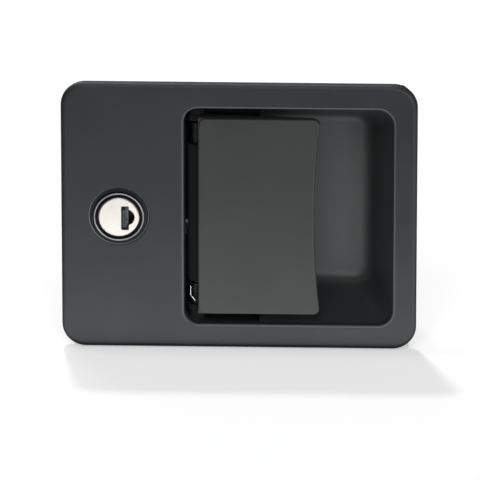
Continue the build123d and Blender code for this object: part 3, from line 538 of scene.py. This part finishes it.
# %% Coil and leg
WIRE_SIDES = 10
STEPS_A_TURN = 22
LEG_ROUNDING = 0.18                 # of the wire's diameter


def coil(centre, radius, wire, z0, z1, turns):
    """A helix of wire about an axis along Z."""
    piece = section(WIRE_SIDES, wire / 2, radius, z0 + wire / 2)
    wind(piece, 2 * pi * turns, z1 - z0 - wire, int(STEPS_A_TURN * turns))
    piece.location = (centre[0], centre[1], 0)
    apply_place()
    return outward(piece)


def leg(start, end, wire):
    """A straight wire between two points, with rounded ends."""
    start, end = Vector(start), Vector(end)
    run = end - start
    bpy.ops.mesh.primitive_cylinder_add(vertices=WIRE_SIDES, radius=wire / 2, depth=run.length,
                                        location=(start + end) / 2)
    piece = bpy.context.object
    piece.rotation_mode = "QUATERNION"
    piece.rotation_quaternion = run.to_track_quat("Z", "Y")
    apply_place()
    return soften(piece, wire * LEG_ROUNDING, 2)


# %% Springs of the paddle
PIN_LOW, PIN_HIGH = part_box("hinge_pin")
PIN = (PIN_LOW + PIN_HIGH) / 2
PIN_R = (PIN_HIGH.x - PIN_LOW.x) / 2
COIL_PLAY = 0.3 * MM
PADDLE_WIRE = 0.9 * MM
PADDLE_TURNS = 9
PADDLE_COIL_LENGTH = 9.0 * MM


def paddle_spring(side, name):
    """A spring at the upper end of the pin, or its mirror image at the lower end."""
    low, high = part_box("paddle_springs")
    half = PADDLE_WIRE / 2
    radius = PIN_R + COIL_PLAY + half
    outer = high.z
    inner = outer - PADDLE_COIL_LENGTH
    reach = high.x - half
    pieces = [coil(PIN, radius, PADDLE_WIRE, inner, outer, PADDLE_TURNS)]
    for y, end_y, z in ((PIN.y + radius, high.y - half, inner + half),
                        (PIN.y - radius, low.y + half, outer - half)):
        pieces.append(leg((PIN.x, y, z), (reach, end_y, z), PADDLE_WIRE))
    spring = joined(pieces, name, BLACKED)
    if side < 0:
        spring.scale = (1, 1, -1)
        apply_place()
        outward(spring)
    belongs(spring, "paddle_springs")


paddle_spring(1, "paddle_spring_upper")
paddle_spring(-1, "paddle_spring_lower")
print("paddle springs, turns each:", PADDLE_TURNS)

# %% [markdown]
# ## Hook of the lower spring
# The wire of the lower spring ends in a hook that lies over its coil.  Rubbing keeps the hook
# bright, so it shows beside the paddle as a small glint.  It is two legs that meet at the bend.

# %% Hook
HOOK_WIRE = 0.55 * MM
HOOK_BEFORE_COIL = 0.25 * MM
hook_y = PIN.y - PIN_R - COIL_PLAY - PADDLE_WIRE - HOOK_BEFORE_COIL
hook_tip = (PIN.x - 2.3 * MM, hook_y, -30.3 * MM)
hook_bend = (PIN.x - 2.2 * MM, hook_y, -34.2 * MM)
hook_foot = (PIN.x - 0.3 * MM, hook_y, -36.6 * MM)
hook_legs = [leg(hook_tip, hook_bend, HOOK_WIRE), leg(hook_bend, hook_foot, HOOK_WIRE)]
belongs(joined(hook_legs, "paddle_spring_hook", WIRE))
print("hook, mm high:", round((hook_tip[2] - hook_foot[2]) / MM, 1))

# %% [markdown]
# ## Return springs of the latch
# Rotor and pawl each have a flat spring of two turns round their pin.  One end rests on the case
# and the other pushes, so a leg leaves each end of the coil.

# %% Return springs
RETURN_WIRE = 0.7 * MM
RETURN_TURNS = 2


def leg_from(centre, radius, angle, z, reach, wire):
    """A leg that leaves the coil along a direction in the plane."""
    side = Vector((cos(angle + pi / 2), sin(angle + pi / 2), 0)) * radius
    start = Vector((centre[0], centre[1], z)) + side
    return leg(start, start + Vector((cos(angle), sin(angle), 0)) * reach, wire)


def return_spring(node, pivot_node, angles, reach, name):
    low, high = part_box(node)
    pin_low, pin_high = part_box(pivot_node)
    centre = (pin_low + pin_high) / 2
    half = RETURN_WIRE / 2
    radius = min(high.x - centre.x, centre.x - low.x, high.y - centre.y, centre.y - low.y) - half
    pieces = [coil(centre, radius, RETURN_WIRE, low.z, high.z, RETURN_TURNS),
              leg_from(centre, radius, angles[0], low.z + half, reach, RETURN_WIRE),
              leg_from(centre, radius, angles[1], high.z - half, reach, RETURN_WIRE)]
    belongs(joined(pieces, name, WIRE), node)
    print(name, "coil radius, mm:", round(radius / MM, 2))


return_spring("rotor_spring", "rotor_pin", (radians(200), radians(75)), 7.0 * MM,
              "rotor_return_spring")
return_spring("pawl_spring", "pawl_pin", (radians(-118), radians(40)), 6.0 * MM,
              "pawl_return_spring")

# %% [markdown]
# ## Threaded studs
# Each stud is an M5 screw stub.  A diamond as high as one pitch is drawn once, and the Screw
# modifier turns it up the shank.  The domed tip is a bevelled cylinder, and a plain end sits in the
# plate.


# %% Shaft and thread
SHAFT_SIDES = 32
THREAD_STEPS = 28


def shaft(radius, y0, y1, rounding):
    """A round bar along Z with softened ends."""
    bpy.ops.mesh.primitive_cylinder_add(vertices=SHAFT_SIDES, radius=radius, depth=y1 - y0,
                                        location=(0, 0, (y0 + y1) / 2))
    apply_place()
    return soften(bpy.context.object, rounding, 3)


def thread(radius, pitch, y0, y1):
    """A V thread along Z whose crests reach `radius`."""
    ridge = section(4, pitch / 2, radius - pitch / 2, y0 + pitch / 2)
    wind(ridge, 2 * pi, pitch, THREAD_STEPS, repeats=int((y1 - y0) / pitch) - 1)
    return outward(ridge)


def laid_inwards(piece, x, y, z):
    """Turn a piece that was made along Z to point along Y, and put it in its place."""
    piece.rotation_mode = "XYZ"
    piece.rotation_euler = (-pi / 2, 0, 0)
    piece.location = (x, y, z)
    apply_place()
    return piece


# %% Studs
STUD_R = 2.5 * MM
STUD_PITCH = 0.8 * MM
TIP_ROUNDING = 0.4 * MM
SEAT_ROUNDING = 0.1 * MM
SEAT_OVERLAP = 0.5 * MM             # how far the pressed end runs into the shank
TIP_PLAIN = 0.6 * MM
PLATE_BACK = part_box("gasket")[0].y
STUD_LOW, STUD_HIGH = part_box("mounting_studs")


def threaded_stud(x, z, name):
    core = STUD_R - STUD_PITCH / 2
    pieces = [shaft(core, PLATE_BACK, STUD_HIGH.y, TIP_ROUNDING),
              shaft(core, STUD_LOW.y, PLATE_BACK + SEAT_OVERLAP, SEAT_ROUNDING),
              thread(STUD_R, STUD_PITCH, PLATE_BACK, STUD_HIGH.y - TIP_PLAIN)]
    belongs(laid_inwards(joined(pieces, name, ZINC), x, 0, z), "mounting_studs")


corners = [(x, z) for x in (STUD_LOW.x + STUD_R, STUD_HIGH.x - STUD_R)
           for z in (STUD_LOW.z + STUD_R, STUD_HIGH.z - STUD_R)]
for number, (x, z) in enumerate(corners, 1):
    threaded_stud(x, z, f"mounting_stud_{number}")
print("studs reach behind the plate, mm:", round((STUD_HIGH.y - PLATE_BACK) / MM, 1))

# %% [markdown]
# ## Thread of the lock barrel
# The barrel is threaded all along, and its nut holds it to the plate.  Only what shows behind the
# nut gets a ridge, which stands a little proud of the plain barrel and hides it.

# %% Barrel thread
BARREL_R = 9.0 * MM
BARREL_PITCH = 1.0 * MM
CREST = 0.15 * MM
FIRST_RIDGE = 0.1 * MM              # behind the nut
nut_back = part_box("lock_nut")[1].y
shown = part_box("lock_barrel")[1].y - nut_back
ridge = thread(BARREL_R + CREST, BARREL_PITCH, FIRST_RIDGE, shown)
belongs(laid_inwards(joined([ridge], "barrel_thread", ENAMEL), LOCK_AXIS.x, nut_back, LOCK_AXIS.z))
print("thread shown behind the nut, mm:", round(shown / MM, 1))

# %% [markdown]
# ## The sheet that it stands on
# The plate stands on a white sheet.  To the camera the sheet is white paper that glows a little, so
# that only the shadow shows on it.  To the light it is a middle grey without glow, so that it
# doesn't flood the face from below.  Seen from below it is clear, and the underside can be looked
# at as well.

# %% Floor
GLOW = 0.42
FLOOR_GAP = 0.4 * MM
FOOT = CAD_BOX[0][2]
bpy.ops.mesh.primitive_plane_add(size=6.0, location=(0, 0, FOOT - FLOOR_GAP))
floor = bpy.context.object
floor.name = "floor"
paper = Finish("white_paper", Roughness=0.9, Specular_IOR_Level=0.1)
camera_ray = paper.node("LightPath", output="Is Camera Ray")
paper.surface(Base_Color=paper.blend(rgb(0.30, 0.30, 0.30), rgb(0.86, 0.86, 0.86), camera_ray))
glow = paper.node("MixShader", sockets={0: camera_ray, 1: paper.node("Emission", Strength=0.0),
                                        2: paper.node("Emission", Strength=GLOW)})
sheet = paper.node("AddShader", sockets={0: Value(paper, paper.shader.outputs[0]), 1: glow})
from_below = paper.node("NewGeometry", output="Backfacing")
sheet = paper.node("MixShader", sockets={0: from_below, 1: sheet, 2: paper.node("BsdfTransparent")})
paper.put(paper.tree.nodes["Material Output"].inputs["Surface"], sheet)
dress(floor, paper.material)
print("floor, mm:", round((FOOT - FLOOR_GAP) / MM, 1))

# %% [markdown]
# ## The room round it
# The backdrop is white to the camera and through clear things, where a strength of 1 is white.  As
# a light it is much weaker, so that the lamps shape the part.

# %% World
WORLD = 0.15
world = bpy.data.worlds.new("studio")
bpy.context.scene.world = world
world.use_nodes = True
sky = Tree(world.node_tree)
seen = sky.node("LightPath", output="Is Camera Ray").at_least(
    sky.node("LightPath", output="Is Transmission Ray"))
backdrop = sky.tree.nodes["Background"]
sky.put(backdrop.inputs["Color"], rgb(1, 1, 1))
sky.put(backdrop.inputs["Strength"], seen * (1.0 - WORLD) + WORLD)
print("strength of the world as a light:", WORLD)

# %% [markdown]
# ## Lamps
# A small lamp above and behind throws the shadow forwards, and large soft ones fill the front and
# the back.  White paper throws light back up: two lamps that lie on the sheet stand for that, which
# is why the plate grows lighter towards its foot.

# %% Lamps
SHEET_Z = FOOT + 1.0 * MM
PLAIN = (1.0, 1.0, 1.0)
COOL = (0.94, 0.96, 1.0)
MIDDLE = (0.0, 0.0, 0.0)


def lamp(name, position, target, size, watts, tint=PLAIN):
    data = bpy.data.lights.new(name, "AREA")
    data.shape = "RECTANGLE"
    data.size, data.size_y = size
    data.energy = watts
    data.color = tint
    piece = bpy.data.objects.new(name, data)
    bpy.context.scene.collection.objects.link(piece)
    piece.location = position
    aimed = Vector(target) - Vector(position)
    piece.rotation_euler = aimed.to_track_quat("-Z", "Y").to_euler()
    piece.visible_camera = False


def sheet_lamp(name, x, y, size, watts, tint=PLAIN):
    """A lamp that lies on the sheet and shines straight up."""
    lamp(name, (x, y, SHEET_Z), (x, y, 1), size, watts, tint)


lamp("key_above_behind", (-0.16, 0.62, 1.44), MIDDLE, (0.10, 0.10), 6.5)
lamp("second_above_left", (-0.27, 0.08, 1.5), MIDDLE, (0.12, 0.12), 2.0)
lamp("front_fill", (-0.15, -1.35, 1.25), MIDDLE, (1.0, 1.0), 9.0)
lamp("back_fill", (-0.7, 1.7, 0.9), MIDDLE, (0.9, 0.9), 7.0)
lamp("low_front_right", (0.8, -1.3, 0.15), MIDDLE, (0.5, 0.5), 9.0, COOL)
sheet_lamp("light_off_the_sheet", 0.08, -0.05, (0.40, 0.085), 0.175, COOL)
sheet_lamp("sheet_before_the_lock", -0.05, -0.17, (0.08, 0.12), 0.040)
print("lamps and their watts:", [(each.name, round(each.energy, 2)) for each in bpy.data.lights])

# %% [markdown]
# ## Camera
# It stands far off with a long lens, a little above the face and to its right.  The aim is given in
# the picture's own up and right, from the middle of the plate's face.

# %% Camera
ELEVATION = radians(20.0)
YAW = radians(1.8)
DISTANCE = 3.0
FRAME_W = 188.8 * MM
SENSOR = 36.0
FACE_Y = CAD_BOX[0][1] + 1.3 * MM
AIM_DOWN = 8.85 * MM
AIM_RIGHT = 0.4 * MM
toward = Vector((sin(YAW) * cos(ELEVATION), -cos(YAW) * cos(ELEVATION), sin(ELEVATION)))
right = Vector((cos(YAW), sin(YAW), 0))
up = toward.cross(right)
aim = Vector((0, FACE_Y, 0)) - up * AIM_DOWN + right * AIM_RIGHT
camera_data = bpy.data.cameras.new("camera")
camera_data.sensor_width = SENSOR
camera_data.lens = SENSOR * DISTANCE / FRAME_W
camera_data.clip_end = 50.0
camera = bpy.data.objects.new("camera", camera_data)
bpy.context.scene.collection.objects.link(camera)
camera.location = aim + toward * DISTANCE
camera.rotation_euler = (-toward).to_track_quat("-Z", "Y").to_euler()
bpy.context.scene.camera = camera
bpy.context.scene.view_settings.view_transform = "Standard"
print("lens, mm:", round(camera_data.lens, 1))
